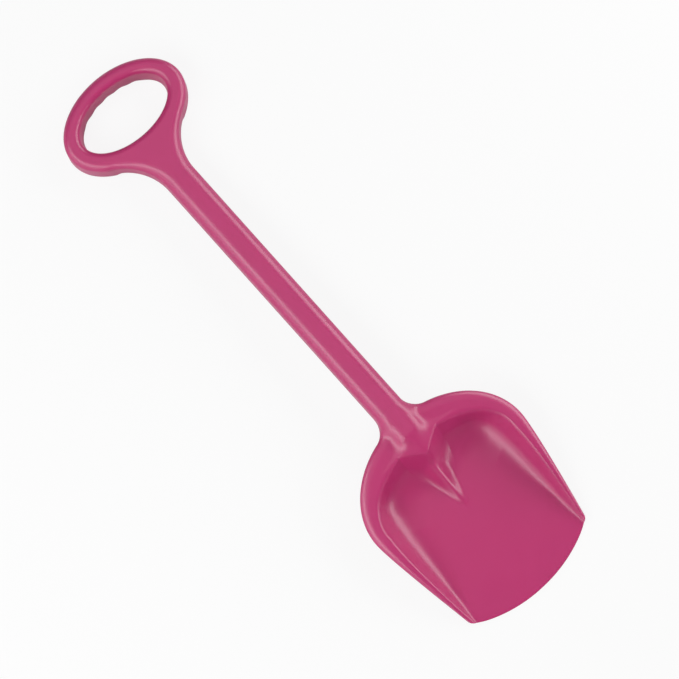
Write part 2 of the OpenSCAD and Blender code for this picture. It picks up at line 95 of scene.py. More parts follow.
# Edge radii in metres, and the angles in degrees from which an edge stays sharp or a rib's edge is rounded
EDGE_R, RIB_EDGE_R = 0.00045, 0.0003
SHARP_ANGLE, RIB_EDGE_ANGLE = 38, 60

# Mesh density: steps along each stretch of an outline, and rows across the skin
SEAM_STEPS, FORK_STEPS, REAR_STEPS, SIDE_STEPS = 6, 64, 84, 54
NECK_STEPS, RING_STEPS, SHAFT_STEPS = 30, 150, 60
FLANGE_ROWS, TURN_ROWS, WALL_ROWS, FLOOR_ROWS = 32, 11, 12, 30
RING_TOP_ROWS = 12

# Station numbers along the outlines, as in the solids. The ring's back edge steps down over NECK_STEP
SEAM, NECK, RING, REAR, SIDE = 3, 8, 30, 14, 9
NECK_STEP = 1.0
NECK_LAST = SEAM + NECK
RING_LAST = NECK_LAST + RING
REAR_LAST = NECK_LAST + REAR
BLADE_LAST = REAR_LAST + SIDE


# Small helpers

def mix(a, b, t):
    return a * (1 - t) + b * t


def ease(t):
    c = np.clip(t, 0.0, 1.0)
    return c * c * (3 - 2 * c)


def smooth_max(a, b, k):
    return np.maximum(a, b) + np.maximum(k - np.abs(a - b), 0) ** 2 / (4 * k)


def unit(v):
    return v / np.linalg.norm(v)


def rad(deg):
    return math.radians(deg)


def add_object(name, data):
    made = bpy.data.objects.new(name, data)
    bpy.context.scene.collection.objects.link(made)
    return made


def node(tree, kind, settings=None, links=None):
    """Adds a node, sets its properties and inputs, and links its inputs from other sockets."""
    made = tree.nodes.new(kind)
    for key, value in (settings or {}).items():
        if isinstance(key, str) and hasattr(made, key):
            setattr(made, key, value)
        else:
            made.inputs[key].default_value = value
    for key, socket in (links or {}).items():
        tree.links.new(socket, made.inputs[key])
    return made


def empty_tree(owner):
    """The node tree of a material or a world, cleared."""
    owner.use_nodes = True
    owner.node_tree.nodes.clear()
    return owner.node_tree


def side_profile(depth, lean, r, inside=0.0, arcs=10, rows=4):
    """Rounded shoulder over a leaning wall: rows of [distance in from the back edge, drop].

    The line may also run inside the skin, as deep as the wall is thick.
    """
    inset = depth * math.tan(rad(lean)) + r * math.tan(rad((90 - lean) / 2))
    turns = [rad((90 - lean) * k / arcs) for k in range(arcs + 1)]
    arc = [[inset - (r - inside) * math.sin(a), inside + (r - inside) * (1 - math.cos(a))] for a in turns]
    foot = np.array([inside / math.cos(rad(lean)), depth])
    tail = [mix(np.array(arc[-1]), foot, (k + 1) / rows) for k in range(rows)]
    return np.array(arc + [list(p) for p in tail])


def ell_point(c, a, b, t):
    return np.array([c + a * math.cos(rad(t)), b * math.sin(rad(t))])


def ell_normal(a, b, t):
    return unit(np.array([math.cos(rad(t)) / a, math.sin(rad(t)) / b]))


# Section of the shaft, which the ring's neck and the blade's ridge take over at their seams
HALF_W = SHAFT_W / 2
SHAFT_OUT = side_profile(SHAFT_DEPTH, SHAFT_DRAFT, SHOULDER_R)
SHAFT_IN = side_profile(SHAFT_DEPTH, SHAFT_DRAFT, SHOULDER_R, WALL)
FLAT_HALF = HALF_W - SHAFT_OUT[0][0]
LIP_OUT = side_profile(LIP_H, LIP_DRAFT, LIP_R) * np.array([LIP_SPREAD, 1.0])


def join_r(a, b, t):
    """Radius of the arc that leaves the shaft's side and meets an ellipse at angle t."""
    return (b * math.sin(rad(t)) - HALF_W) / (1 - ell_normal(a, b, t)[1])


def join_centre(c, a, b, t):
    return ell_point(c, a, b, t) + join_r(a, b, t) * ell_normal(a, b, t)


# Places of the grip ring and its neck
RING_A, RING_B = GRIP_LEN / 2, GRIP_W / 2
HOLE_A, HOLE_B = HOLE_LEN / 2, HOLE_W / 2
HOLE_X = BAR_T + HOLE_A
NECK_C = join_centre(RING_A, RING_A, RING_B, NECK_ANGLE)
NECK_R = join_r(RING_A, RING_B, NECK_ANGLE)
GRIP_END = NECK_C[0]

# Places of the blade
HALF_BLADE = BLADE_W / 2
BLADE_START = GRIP_END + SHAFT_LEN
FORK_T = 180 - FORK_ANGLE
FORK_R = join_r(REAR_LEN, HALF_BLADE, FORK_T)
RIM_REAR = BLADE_START - join_centre(0, REAR_LEN, HALF_BLADE, FORK_T)[0] - REAR_LEN
WIDEST_X = RIM_REAR + REAR_LEN
TIP_X = WIDEST_X + FRONT_LEN
CORNER = np.array([TIP_X - MOUTH_BOW, MOUTH_W / 2])
SIDE_CTRL = np.array([mix(WIDEST_X, CORNER[0], SIDE_REACH_SHARE), HALF_BLADE])
HEEL_X = RIM_REAR + REAR_RUN
NOSE_X = RIM_REAR + NOSE_REACH
FORK_C = np.array([BLADE_START, HALF_W + FORK_R])
FORK_N = -ell_normal(REAR_LEN, HALF_BLADE, FORK_T)
FORK_TO = math.degrees(math.atan2(FORK_N[1], FORK_N[0]))

# The floor lies on the ground together with the ring, so the handle slopes
GROUND_SLOPE = (WALL + RIM_DROP + PAN_DEPTH - GRIP_DEPTH) / HEEL_X
LIE = math.atan(GROUND_SLOPE)


def ground(x):
    return -GRIP_DEPTH - GROUND_SLOPE * x


def floor_z(x):
    return ground(x) + WALL / math.cos(LIE)


RIM_FRONT_Z = floor_z(CORNER[0]) + WALL


def rim_z(x):
    t = np.clip((x - WIDEST_X) / (CORNER[0] - WIDEST_X), 0, 1)
    back = np.clip((WIDEST_X - x) / REAR_LEN, 0, 1)
    return mix(-RIM_DROP, RIM_FRONT_Z, t ** RIM_FALL_POWER) + REAR_RISE * back ** REAR_RISE_POWER


# The ridge that runs over the rim and comes down into the pan as a pointed nose

# The crest starts to fall three walls before the flange's inner edge
CREST_X = RIM_REAR + FLANGE_REAR_W - 3 * WALL


def tongue(y):
    """Share of the tongue's reach past the flange's inner edge, at a distance y from the middle."""
    left = TONGUE_HALF - np.sqrt(y ** 2 + TONGUE_TIP_R ** 2)
    return np.clip(left / (TONGUE_HALF - TONGUE_TIP_R), 0, 1)


def shaft_drop(y):
    """Drop of the ridge below its top face: the shaft's shoulder, then a plain slope to the fillet."""
    d = np.maximum(np.abs(y) - FLAT_HALF, 0)
    c = rad(FLANK_ANGLE)
    edge = SHOULDER_R * math.sin(c)
    curved = SHOULDER_R - np.sqrt(np.maximum(SHOULDER_R ** 2 - np.minimum(d, edge) ** 2, 0))
    return np.where(d < edge, curved,
                    SHOULDER_R * (1 - math.cos(c)) + (d - edge) * math.tan(c))


def soft_v(y, slope, r):
    """Drop of a ridge with a rounded crest of radius about r / slope."""
    return slope * (np.sqrt(y ** 2 + r ** 2) - r)


def ridge_z(x, y):
    """Top of the ridge: the shaft's section, spreading as it runs over the rim."""
    d = np.maximum(x - CREST_X, 0)
    run = np.where(d < CREST_BEND, d ** 2 / (2 * CREST_BEND), d - CREST_BEND / 2)
    fan = ease((x - RIM_REAR - FAN_START) / FAN_RUN)
    across = mix(shaft_drop(y), soft_v(y, math.tan(rad(FAN_ANGLE)), FAN_CREST_R), fan)
    return -math.tan(rad(CREST_ANGLE)) * run - across


def top_z(x, y):
    return smooth_max(rim_z(x), ridge_z(x, y), NECK_BLEND)


def nose_z(x, y):
    rise = (NOSE_X - x) * math.tan(rad(NOSE_ANGLE))
    crest = floor_z(x) - smooth_max(-rise, -NOSE_TOP, NOSE_BLEND)
    return crest - soft_v(y - NOSE_Y, 1 / math.tan(rad(NOSE_DRAFT)), NOSE_R)


def nosed(grid, lower):
    """The skin with the nose raised out of it, or a nose that lies lower, for the inner skin."""
    out = grid.copy()
    out[..., 2] = smooth_max(grid[..., 2], nose_z(grid[..., 0], grid[..., 1]) - lower, NOSE_BLEND)
    return out


# Blade: stations run round the half outline, rows run across the skin

def side_u(i):
    return (i - REAR_LAST) / SIDE


def side_share(i):
    return min(max(side_u(i), 0.0), 1.0)


def rear_share(i):
    return min(max((i - NECK_LAST) / REAR, 0.0), 1.0)


def fork_share(i):
    return float(ease((i - SEAM) / NECK))


def rear_t(i):
    return mix(FORK_T, 90, (i - NECK_LAST) / REAR)


def blade_in(i):
    if i <= SEAM:
        return np.array([1.0, 0.0])
    if i <= NECK_LAST:
        a = rad(mix(-90, FORK_TO, (i - SEAM) / NECK))
        return np.array([math.cos(a), math.sin(a)])
    if i <= REAR_LAST:
        return -ell_normal(REAR_LEN, HALF_BLADE, rear_t(i))
    u = side_u(i)
    d = unit((1 - u) * (SIDE_CTRL - np.array([WIDEST_X, HALF_BLADE])) + u * (CORNER - SIDE_CTRL))
    return np.array([d[1], -d[0]])


def blade_edge(i):
    if i <= SEAM:
        return np.array([BLADE_START, HALF_W * i / SEAM])
    if i <= NECK_LAST:
        return FORK_C + FORK_R * blade_in(i)
    if i <= REAR_LAST:
        return ell_point(WIDEST_X, REAR_LEN, HALF_BLADE, rear_t(i))
    u = side_u(i)
    return (1 - u) ** 2 * np.array([WIDEST_X, HALF_BLADE]) + 2 * u * (1 - u) * SIDE_CTRL + u * u * CORNER


def flange_w(i):
    rear = mix(FLANGE_REAR_W, FLANGE_SIDE_W, float(ease(rear_share(i))))
    return mix(rear, FLANGE_FRONT_W, side_share(i) ** FLANGE_POWER)


def top_in(i):
    return min(mix(SHAFT_OUT[0][0], LIP_OUT[0][0], fork_share(i)),
               LIP_WIDTH_SHARE * flange_w(i))


# The rows end on a narrow strip along the middle of the floor, which starts in front of the nose
STRIP_W = 2 * WALL
INNER_START = NOSE_X + 2 * WALL
SIDE_BEND = INNER_START - WIDEST_X + 5 * WALL


def bent_x(i, y):
    u = side_share(i)
    o = blade_edge(i)
    r = np.clip(y / o[1], 0, 1)
    share = (1 - (1 - CORNER_ROUND_SHARE * u) * r ** mix(SIDE_POWER, FRONT_POWER, u)
             - CORNER_ROUND_SHARE * u * r ** CORNER_POWER)
    return o[0] + mix(SIDE_BEND, MOUTH_BOW, u) * share


def placed(i, p):
    return np.array([bent_x(i, p[1]), p[1]]) if i >= REAR_LAST else p


def wall_top_xy(i):
    if i < NECK_LAST:
        w = wall_top_xy(NECK_LAST)
        t = (max(i - SEAM, 0) / NECK) ** 2
        y = FLAT_HALF * i / SEAM if i <= SEAM else mix(FLAT_HALF, w[1], t)
        return np.array([mix(RIM_REAR + FLANGE_REAR_W, w[0], t * t), y])
    return blade_edge(i) + flange_w(i) * blade_in(i)


NECK_Y = wall_top_xy(NECK_LAST)[1]
WALL_TOP_X = wall_top_xy(0)[0]
FLOOR_STRAIGHT = FLOOR_REAR_W / 2 - FLOOR_CORNER_R - NECK_Y
FLOOR_ARC = FLOOR_CORNER_R * math.pi / 2
FLOOR_SIDE = bent_x(REAR_LAST, FLOOR_REAR_W / 2) - HEEL_X - FLOOR_CORNER_R


def wall_foot_xy(i):
    if i <= NECK_LAST:
        return np.array([HEEL_X, wall_top_xy(i)[1]])
    if i <= REAR_LAST:
        s = rear_share(i) * (FLOOR_STRAIGHT + FLOOR_ARC + FLOOR_SIDE)
        a = rad(min(max(s - FLOOR_STRAIGHT, 0), FLOOR_ARC) / FLOOR_ARC * 90)
        return np.array([
            HEEL_X + FLOOR_CORNER_R * (1 - math.cos(a)) + max(s - FLOOR_STRAIGHT - FLOOR_ARC, 0),
            NECK_Y + min(s, FLOOR_STRAIGHT) + FLOOR_CORNER_R * math.sin(a)])
    return np.array([0.0, mix(FLOOR_REAR_W, FLOOR_FRONT_W, side_share(i)) / 2])


def middle_xy(i):
    return np.array([mix(INNER_START, bent_x(REAR_LAST, STRIP_W / 2), min(i / REAR_LAST, 1)),
                     STRIP_W / 2 * min(i / SEAM, 1)])


def toward(a, b, d):
    gap = np.linalg.norm(b - a)
    return a + min(d, BLEND_LIMIT * gap) * (b - a) / gap


def turn(a, b, c, n):
    t = np.linspace(0, 1, n)[:, None]
    return (1 - t) ** 2 * a + 2 * t * (1 - t) * b + t * t * c


def line(a, b, n):
    t = (np.arange(1, n + 1) / (n + 1))[:, None]
    return a * (1 - t) + b * t


def plain_top(i):
    """Rows of a station from the edge of its top face to the middle of the floor."""
    def lifted(xy, height):
        xy = placed(i, xy)
        return np.array([xy[0], xy[1], height(xy[0], xy[1])])

    def level(rows, height):
        if i >= REAR_LAST:
            rows[:, 0] = bent_x(i, rows[:, 1])
        rows[:, 2] = height(rows[:, 0], rows[:, 1])
        return rows

    def floor_at(x, y):
        return floor_z(x)

    if i > SEAM:
        top = blade_edge(i) + top_in(i) * blade_in(i)
    else:
        top = np.array([BLADE_START, FLAT_HALF * i / SEAM])
    wall_top, wall_foot = wall_top_xy(i), wall_foot_xy(i)
    reach = (RIM_REAR + CREST_REACH - WALL_TOP_X) * tongue(wall_top[1]) * (i < REAR_LAST)
    wall_top[0] += reach
    wall_foot[0] += reach
    t, w = lifted(top, top_z), lifted(wall_top, top_z)
    f, m = lifted(wall_foot, floor_at), lifted(middle_xy(i), floor_at)
    edge = mix(TONGUE_BLEND, WALL_TOP_BLEND, float(ease(TOP_BLEND_RATE * rear_share(i))))
    w1 = lifted(toward(w, t, edge)[:2], top_z)
    w2 = toward(w, f, edge)
    foot = mix(FOOT_BLEND_REAR, FOOT_BLEND_FRONT, min(FOOT_BLEND_RATE * side_share(i), 1))
    f1, f2 = toward(f, w, foot), toward(f, m, foot)
    flange = level(line(t, w1, FLANGE_ROWS), top_z)
    shares = (np.arange(1, FLOOR_ROWS + 1) / FLOOR_ROWS)[:, None]
    across = level(mix(f2[None, :], m[None, :], shares), floor_at)
    wall = np.vstack([turn(w1, w, w2, TURN_ROWS), line(w2, f1, WALL_ROWS), turn(f1, f, f2, TURN_ROWS)])
    if i >= REAR_LAST:
        wall[:, 0] = bent_x(i, wall[:, 1])
    return np.vstack([t[None, :], flange, wall, across])


def blade_back_z(i, x):
    hang = mix(LIP_H, RIM_FRONT_Z - ground(CORNER[0]), side_share(i))
    return max(ground(x), mix(-SHAFT_DEPTH, rim_z(x) - hang, fork_share(i)))


BAND = len(SHAFT_OUT) - 1


def blade_band(i, top):
    """Rows of a station's side, from below the top face to the back edge."""
    if i <= SEAM:
        return np.array([[BLADE_START, (HALF_W - SHAFT_OUT[k][0]) * i / SEAM, -SHAFT_OUT[k][1]]
                         for k in range(1, BAND + 1)])
    w = fork_share(i)
    o, n = blade_edge(i), blade_in(i)
    back = blade_back_z(i, o[0])
    scale_in = top_in(i) / mix(SHAFT_OUT[0][0], LIP_OUT[0][0], w)
    rows = []
    for k in range(1, BAND + 1):
        xy = placed(i, o + mix(SHAFT_OUT[k][0], LIP_OUT[k][0], w) * scale_in * n)
        share = mix(SHAFT_OUT[k][1] / SHAFT_DEPTH, LIP_OUT[k][1] / LIP_H, w)
        rows.append([xy[0], xy[1], mix(mix(top[2], top_z(xy[0], xy[1]), w), back, share)])
    return np.array(rows)


def blade_station(i):
    top = plain_top(i)
    return np.vstack([top[::-1], blade_band(i, top[0])])


# Grip ring: stations run from the neck round to the outer bar

NECK_N = -ell_normal(RING_A, RING_B, NECK_ANGLE)
NECK_TO = 360 + math.degrees(math.atan2(NECK_N[1], NECK_N[0]))
RING_OUT = side_profile(GRIP_DEPTH, RING_DRAFT, RING_R)
HOLE_OUT = side_profile(GRIP_DEPTH, RING_DRAFT, HOLE_R)


def ring_t(i):
    return mix(NECK_ANGLE, 180, (i - NECK_LAST) / RING)


def ring_in(i):
    if i <= SEAM:
        return np.array([-1.0, 0.0])
    if i <= NECK_LAST:
        a = rad(mix(270, NECK_TO, (i - SEAM) / NECK))
        return np.array([math.cos(a), math.sin(a)])
    return -ell_normal(RING_A, RING_B, ring_t(i))


def ring_edge(i):
    if i <= SEAM:
        return np.array([GRIP_END, HALF_W * i / SEAM])
    if i <= NECK_LAST:
        return NECK_C + NECK_R * ring_in(i)
    return ell_point(RING_A, RING_A, RING_B, ring_t(i))


def finger_share(t, y):
    if t < 90 or abs(y) > FINGER_COUNT * FINGER_PITCH / 2:
        return 0.0
    return (1 + math.cos(rad(360 * y / FINGER_PITCH))) / 2


def hole_rows(i):
    t = NECK_ANGLE * (i / NECK_LAST) ** 2 if i <= NECK_LAST else ring_t(i)
    h, n = ell_point(HOLE_X, HOLE_A, HOLE_B, t), ell_normal(HOLE_A, HOLE_B, t)
    share = HOLE_OUT[:, 1] / GRIP_DEPTH
    press = FINGER_DEPTH * finger_share(t, h[1]) * mix(FINGER_TOP_SHARE, 1, share)
    xy = h + (HOLE_OUT[:, 0] + press)[:, None] * n
    return np.column_stack([xy, ground(xy[:, 0]) * share])


def ring_back_z(i, x):
    """The neck's back edge is level with the shaft's and steps down to the ground at the ring."""
    return mix(-SHAFT_DEPTH, ground(x), float(ease((i - NECK_LAST) / NECK_STEP + 1)))


def ring_band(i):
    if i <= SEAM:
        return np.array([[GRIP_END, (HALF_W - p[0]) * i / SEAM, -p[1]] for p in SHAFT_OUT])
    w = fork_share(i)
    o = ring_edge(i)
    xy = o + mix(SHAFT_OUT[:, 0], RING_OUT[:, 0], w)[:, None] * ring_in(i)
    share = mix(SHAFT_OUT[:, 1] / SHAFT_DEPTH, RING_OUT[:, 1] / GRIP_DEPTH, w)
    return np.column_stack([xy, ring_back_z(i, o[0]) * share])


def ring_station(i):
    hole, band = hole_rows(i), ring_band(i)
    return np.vstack([hole[::-1], line(hole[0], band[0], RING_TOP_ROWS), band])


# Skins to meshes

def stations(*parts):
    """Station numbers of one half: (first, last, steps) for each stretch, each first left out."""
    out = [0.0]
    for first, last, steps in parts:
        out += [first + (last - first) * (k + 1) / steps for k in range(steps)]
    return out


def both_halves(half, closed):
    """The mirrored half in front of the half itself. A closed skin shares its last station."""
    flipped = half[:0:-1].copy()
    flipped[:, :, 1] *= -1
    if closed:
        flipped = flipped[1:]
    return np.concatenate([flipped, half])


def skin_normals(g, closed):
    if closed:
        a = np.roll(g, -1, 0) - np.roll(g, 1, 0)
    else:
        a = np.gradient(g, axis=0)
    b = np.gradient(g, axis=1)
    n = np.cross(a, b)
    return n / np.linalg.norm(n, axis=2, keepdims=True)


def grid_faces(n, m, closed, base, turned):
    i = np.arange(n if closed else n - 1)[:, None]
    j = np.arange(m - 1)[None, :]
    o = (i + 1) % n
    q = np.stack([i * m + j, i * m + j + 1, o * m + j + 1, o * m + j], -1).reshape(-1, 4) + base
    return q[:, ::-1] if turned else q


def edge_faces(n, m, j, closed, turned):
    i = np.arange(n if closed else n - 1)
    o = (i + 1) % n
    q = np.stack([i * m + j, n * m + i * m + j, n * m + o * m + j, o * m + j], -1)
    return q[:, ::-1] if turned else q


def lay_down(points):
    """Handle frame in mm to the row's frame in metres: laid on its back on z = 0."""
    x = points[:, 0] * math.cos(LIE) - points[:, 2] * math.sin(LIE)
    z = points[:, 0] * math.sin(LIE) + points[:, 2] * math.cos(LIE)
    start = GRIP_DEPTH * math.sin(LIE)
    end = TIP_X * math.cos(LIE) - floor_z(TIP_X) * math.sin(LIE)
    return np.column_stack([x - (start + end) / 2, points[:, 1], z + GRIP_DEPTH * math.cos(LIE)]) / 1000


def skin_points(outer, under):
    return np.vstack([outer.reshape(-1, 3), under.reshape(-1, 3)])


def on_both_skins(pairs, base):
    """Vertex pairs of edges on the outer skin, with the same edges of the inner skin."""
    return pairs + [(base + a, base + b) for a, b in pairs]


def round_edges(me, bm, edges, radius):
    """Gives the edges a small moulded radius and writes the mesh back, smooth but for its sharp edges."""
    bmesh.ops.bevel(bm, geom=edges, offset=radius, segments=2, profile=0.5, affect="EDGES",
                    clamp_overlap=True)
    bmesh.ops.recalc_face_normals(bm, faces=bm.faces)
    bm.to_mesh(me)
    bm.free()
    me.shade_smooth()
    me.set_sharp_from_angle(angle=rad(SHARP_ANGLE))


def make_mesh(name, points, faces, rounded):
    """A closed mesh, with the edges between the vertex pairs in rounded given a moulded radius."""
    me = bpy.data.meshes.new(name)
    me.from_pydata([tuple(p) for p in lay_down(points)], [], [tuple(int(v) for v in f) for f in faces])
    bm = bmesh.new()
    bm.from_mesh(me)
    bmesh.ops.recalc_face_normals(bm, faces=bm.faces)
    bm.verts.ensure_lookup_table()
    edges = [bm.edges.get((bm.verts[a], bm.verts[b])) for a, b in rounded]
    round_edges(me, bm, [e for e in edges if e], EDGE_R)
    return add_object(name, me)


def blade_grids():
    """Outer and inner skin of the blade, and the number of the station on the middle line."""
    nums = stations((0, SEAM, SEAM_STEPS), (SEAM, NECK_LAST, FORK_STEPS),
                    (NECK_LAST, REAR_LAST, REAR_STEPS), (REAR_LAST, BLADE_LAST, SIDE_STEPS))
    outer = both_halves(np.array([blade_station(i) for i in nums]), False)
    n, m = outer.shape[:2]
    mid = len(nums) - 1
    under = outer - WALL * skin_normals(outer, False)
    top_row = m - 1 - BAND
    share = np.clip((np.arange(m) - FLOOR_ROWS) / (m - 1 - FLOOR_ROWS), 0, 1)[:, None]
    for s, i in zip(range(mid, n), nums):
        p = under[s]
        if i <= SEAM:
            for k in range(BAND + 1):
                p[top_row + k] = [BLADE_START + WALL, (HALF_W - SHAFT_IN[k][0]) * i / SEAM, -SHAFT_IN[k][1]]
        elif i <= NECK_LAST:
            bulkhead = BLADE_START + WALL * (1 + BULKHEAD_STEP_SHARE * (i - SEAM))
            p[:, 0] = np.maximum(p[:, 0], bulkhead)
        low = ground(p[:, 0])
        p[:, 2] = np.maximum(p[:, 2], low)
        if i > SEAM:
            p[-1, 2] = max(outer[s, -1, 2], low[-1])
        # Toward the mouth the fold between wall and rim shuts: the inner skin runs straight to the back edge
        shut = float(ease((side_share(i) - FOLD_SHUT_START) / FOLD_SHUT_RUN))
        straight = mix(p[FLOOR_ROWS][None, :], p[-1][None, :], share)
        p[:] = np.where((share > 0) & (shut > 0), mix(p, straight, shut), p)
    under[mid, :, 1] = 0
    under[:mid] = (under[mid + 1:] * [1, -1, 1])[::-1]
    return nosed(outer, 0.0), nosed(under, WALL / math.sin(rad(NOSE_DRAFT))), mid


def blade_mesh():
    outer, under, mid = blade_grids()
    n, m = outer.shape[:2]
    base, end = n * m, (n - 1) * m
    faces = [grid_faces(n, m, False, 0, False), grid_faces(n, m, False, base, True),
             edge_faces(n, m, m - 1, False, False)]
    faces = [tuple(q) for part in faces for q in part]
    # The strip along the middle of the floor joins the halves
    for i in range(mid):
        a, b, c, d = (mid + i) * m, (mid + i + 1) * m, (mid - i - 1) * m, (mid - i) * m
        if i == 0:
            faces += [(a, c, b), (base + a, base + b, base + c)]
        else:
            faces += [(a, d, c, b), (base + a, base + b, base + c, base + d)]
    # The mouth's edge joins the outer and the inner skin
    for s, turned in ((0, False), (end, True)):
        for j in range(m - 1):
            q = (s + j, s + j + 1, base + s + j + 1, base + s + j)
            faces.append(q[::-1] if turned else q)
    faces.append((0, base, base + end, end))
    back = [(s * m + m - 1, (s + 1) * m + m - 1) for s in range(n - 1)
            if abs(s + 0.5 - mid) > SEAM_STEPS]
    front = [(e + j, e + j + 1) for e in (0, end) for j in range(m - 1)] + [(0, end)]
    rounded = on_both_skins(back, base) + on_both_skins(front, base)
    return make_mesh("blade_pan", skin_points(outer, under), faces, rounded)


def ring_grids():
    """Outer and inner skin of the ring, the number of its middle station, and the half's station numbers."""
    nums = stations((0, SEAM, SEAM_STEPS), (SEAM, NECK_LAST, NECK_STEPS), (NECK_LAST, RING_LAST, RING_STEPS))
    outer = both_halves(np.array([ring_station(i) for i in nums]), True)
    under = outer + WALL * skin_normals(outer, True)
    n, m = outer.shape[:2]
    mid = len(nums) - 2
    top_row = m - 1 - BAND
    for s, i in zip(range(mid, n), nums):
        p = under[s]
        if i <= NECK_LAST:
            bulkhead = GRIP_END - WALL * (1 + BULKHEAD_STEP_SHARE * (i - SEAM))
            p[:, 0] = np.minimum(p[:, 0], bulkhead)
        p[0, 2] = ground(p[0, 0])
        p[-1, 2] = ring_back_z(i, p[-1, 0])
        if i <= SEAM:
            for k in range(BAND + 1):
                p[top_row + k] = [GRIP_END - WALL, (HALF_W - SHAFT_IN[k][0]) * i / SEAM, -SHAFT_IN[k][1]]
    under[mid, :, 1] = 0
    under[n - 1, :, 1] = 0
    under[:mid] = (under[mid + 1:n - 1] * [1, -1, 1])[::-1]
    return outer, under, mid, nums


def ring_mesh():
    outer, under, mid = ring_grids()[:3]
    n, m = outer.shape[:2]
    base = n * m
    faces = [grid_faces(n, m, True, 0, True), grid_faces(n, m, True, base, False),
             edge_faces(n, m, m - 1, True, True), edge_faces(n, m, 0, True, False)]
    faces = [tuple(q) for part in faces for q in part]
    back = [(s * m + m - 1, (s + 1) % n * m + m - 1) for s in range(n)
            if abs(s + 0.5 - mid) > SEAM_STEPS]
    back += [(s * m, (s + 1) % n * m) for s in range(n)]
    return make_mesh("grip_ring_shell", skin_points(outer, under), faces, on_both_skins(back, base))


def shaft_mesh():
    left = [(HALF_W - p[0], -p[1]) for p in SHAFT_OUT]
    hollow = [(HALF_W - p[0], -p[1]) for p in SHAFT_IN]
    loop = left + hollow[::-1] + [(-y, z) for y, z in hollow] + [(-y, z) for y, z in left[::-1]]
    half, m = len(left), len(loop)
    points = [[GRIP_END + SHAFT_LEN * s / SHAFT_STEPS, y, z] for s in range(SHAFT_STEPS + 1) for y, z in loop]
    faces = [(s * m + j, s * m + (j + 1) % m, (s + 1) * m + (j + 1) % m, (s + 1) * m + j)
             for s in range(SHAFT_STEPS) for j in range(m)]
    # End faces: a ladder between the outer and the inner line of each half, and across the top
    for e in (0, SHAFT_STEPS * m):
        for j in range(half - 1):
            step = (j, j + 1, 2 * half - 2 - j, 2 * half - 1 - j)
            faces.append(tuple(e + v for v in step))
            faces.append(tuple(e + m - 1 - v for v in step))
        faces.append((e, e + 2 * half - 1, e + 2 * half, e + m - 1))
    rims = [half - 1, half, m - 1 - half, m - half]
    rounded = [(s * m + j, (s + 1) * m + j) for s in range(SHAFT_STEPS) for j in rims]
    return make_mesh("shaft_channel", np.array(points), faces, rounded)


# Ribs: one plate, repeated across the hollow back

def rib_plate(name, outline):
    """A plate in the plane across the channel, its outline given as [y, z] in mm."""
    m = len(outline)
    me = bpy.data.meshes.new(name)
    points = [(x, y, z) for x in (-RIB_T / 2, RIB_T / 2) for y, z in outline]
    sides = [(j, (j + 1) % m, m + (j + 1) % m, m + j) for j in range(m)]
    me.from_pydata(points, [], sides + [tuple(range(m))[::-1], tuple(range(m, 2 * m))])
    return add_object(name, me)


def shaft_rib_plate():
    foot = RIB_SETBACK - SHAFT_DEPTH
    half = [(HALF_W - p[0] + RIB_SINK, -p[1] + RIB_SINK) for p in SHAFT_IN]
    half = [p for p in half if p[1] > foot] + [(half[-1][0], foot)]
    return rib_plate("shaft_rib_plate", half + [(-y, z) for y, z in half[::-1]])


def grip_rib_plate():
    """A plate of width and depth 1. Its top corners are round, so that they stay inside the wall."""
    top = [(s / 2, -RIB_TOP_SHARE - RIB_CORNER_SHARE * abs(s) ** RIB_CORNER_POWER)
           for s in np.linspace(1, -1, RIB_TOP_POINTS)]
    return rib_plate("grip_rib_plate", [(0.5, -1.0)] + top + [(-0.5, -1.0)])


def rib_spots(name, spots):
    """Points that carry the turn, width and depth of a rib. A spot is [x, y, turn, wide, deep]."""
    me = bpy.data.meshes.new(name)
    me.from_pydata([(p[0], p[1], 0) for p in spots], [], [])
    for k, word in enumerate(("turn", "wide", "deep")):
        values = me.attributes.new(word, "FLOAT", "POINT")
        values.data.foreach_set("value", [float(p[2 + k]) for p in spots])
    return add_object(name, me)


def rib_tree():
    tree = bpy.data.node_groups.new("ribs_across_a_channel", "GeometryNodeTree")
    face = tree.interface
    face.new_socket(name="Spots", in_out="INPUT", socket_type="NodeSocketGeometry")
    face.new_socket(name="Rib plate", in_out="INPUT", socket_type="NodeSocketObject")
    face.new_socket(name="Plastic", in_out="INPUT", socket_type="NodeSocketMaterial")
    face.new_socket(name="Ribs", in_out="OUTPUT", socket_type="NodeSocketGeometry")
    given = tree.nodes.new("NodeGroupInput").outputs
    word = {w: node(tree, "GeometryNodeInputNamedAttribute", {"data_type": "FLOAT", "Name": w}).outputs[0]
            for w in ("turn", "wide", "deep")}
    angles = node(tree, "ShaderNodeCombineXYZ", {}, {"Z": word["turn"]})
    turned = node(tree, "FunctionNodeEulerToRotation", {}, {0: angles.outputs[0]})
    size = node(tree, "ShaderNodeCombineXYZ", {"X": 1.0}, {"Y": word["wide"], "Z": word["deep"]})
    plate = node(tree, "GeometryNodeObjectInfo", {}, {"Object": given["Rib plate"]})
    ribs = node(tree, "GeometryNodeInstanceOnPoints", {},
                {"Points": given["Spots"], "Instance": plate.outputs["Geometry"],
                 "Rotation": turned.outputs[0], "Scale": size.outputs[0]})
    solid = node(tree, "GeometryNodeRealizeInstances", {}, {0: ribs.outputs[0]})
    dressed = node(tree, "GeometryNodeSetMaterial", {},
                   {"Geometry": solid.outputs[0], "Material": given["Plastic"]})
    tree.links.new(dressed.outputs[0], tree.nodes.new("NodeGroupOutput").inputs[0])
    return tree


